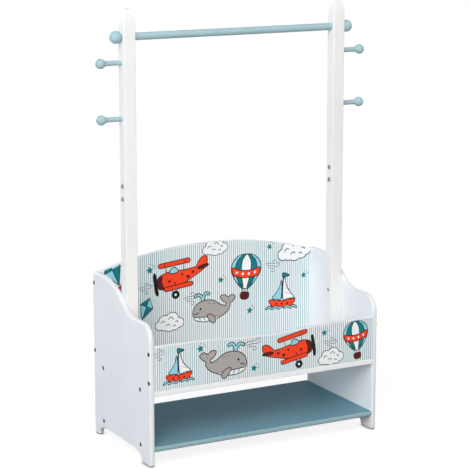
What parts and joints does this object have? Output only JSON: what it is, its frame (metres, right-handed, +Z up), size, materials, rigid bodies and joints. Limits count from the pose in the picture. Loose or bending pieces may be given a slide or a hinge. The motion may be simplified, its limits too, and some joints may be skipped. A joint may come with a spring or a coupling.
{
  "type": "kids coat rack with toy box",
  "caption": "Free-standing children's clothes rack: shaped side panels carry a printed toy box and a low shelf, and posts hold a hanging rail and coat pegs.",
  "frame": {"origin": "on the floor, midway between the side panels and midway between their front and rear edges", "axes": "+X to the right seen from the front, along the hanging rail; +Y to the rear; +Z up"},
  "size_m": [0.729, 0.317, 1.0605],
  "materials": {
    "white_paint": "satin white paint on fibreboard with rounded edges",
    "post_paint": "satin white paint on square hardwood posts",
    "blue_paint": "satin blue-grey paint on board, dowel and turned knobs",
    "printed_board": null,
    "dark_steel": "dark coated countersunk screws with hexagon sockets",
    "plated_steel": "plated bolts, sleeve nuts and studs"
  },
  "bodies": {
    "root": {"back_panel": "printed_board", "front_panel": "printed_board", "box_floor": "white_paint", "bottom_shelf": "blue_paint", "hanging_rail": "blue_paint", "left_side_panel": "white_paint", "left_lower_post": "post_paint", "left_upper_post": "post_paint", "left_rail_knob": "blue_paint", "left_rail_stud": "plated_steel", "left_upper_peg": "blue_paint", "left_upper_peg_stud": "plated_steel", "left_lower_peg": "blue_paint", "left_lower_peg_stud": "plated_steel", "left_lower_lap_bolt": "plated_steel", "left_lower_sleeve_nut": "plated_steel", "left_upper_lap_bolt": "plated_steel", "left_upper_sleeve_nut": "plated_steel", "left_lower_post_screw": "dark_steel", "left_upper_post_screw": "dark_steel", "left_back_panel_lower_screw": "dark_steel", "left_back_panel_upper_screw": "dark_steel", "left_front_panel_lower_screw": "dark_steel", "left_front_panel_upper_screw": "dark_steel", "left_box_floor_front_screw": "dark_steel", "left_box_floor_rear_screw": "dark_steel", "left_bottom_shelf_front_screw": "dark_steel", "left_bottom_shelf_rear_screw": "dark_steel", "right_side_panel": "white_paint", "right_lower_post": "post_paint", "right_upper_post": "post_paint", "right_rail_knob": "blue_paint", "right_rail_stud": "plated_steel", "right_upper_peg": "blue_paint", "right_upper_peg_stud": "plated_steel", "right_lower_peg": "blue_paint", "right_lower_peg_stud": "plated_steel", "right_lower_lap_bolt": "plated_steel", "right_lower_sleeve_nut": "plated_steel", "right_upper_lap_bolt": "plated_steel", "right_upper_sleeve_nut": "plated_steel", "right_lower_post_screw": "dark_steel", "right_upper_post_screw": "dark_steel", "right_back_panel_lower_screw": "dark_steel", "right_back_panel_upper_screw": "dark_steel", "right_front_panel_lower_screw": "dark_steel", "right_front_panel_upper_screw": "dark_steel", "right_box_floor_front_screw": "dark_steel", "right_box_floor_rear_screw": "dark_steel", "right_bottom_shelf_front_screw": "dark_steel", "right_bottom_shelf_rear_screw": "dark_steel"}
  },
  "joints": []
}
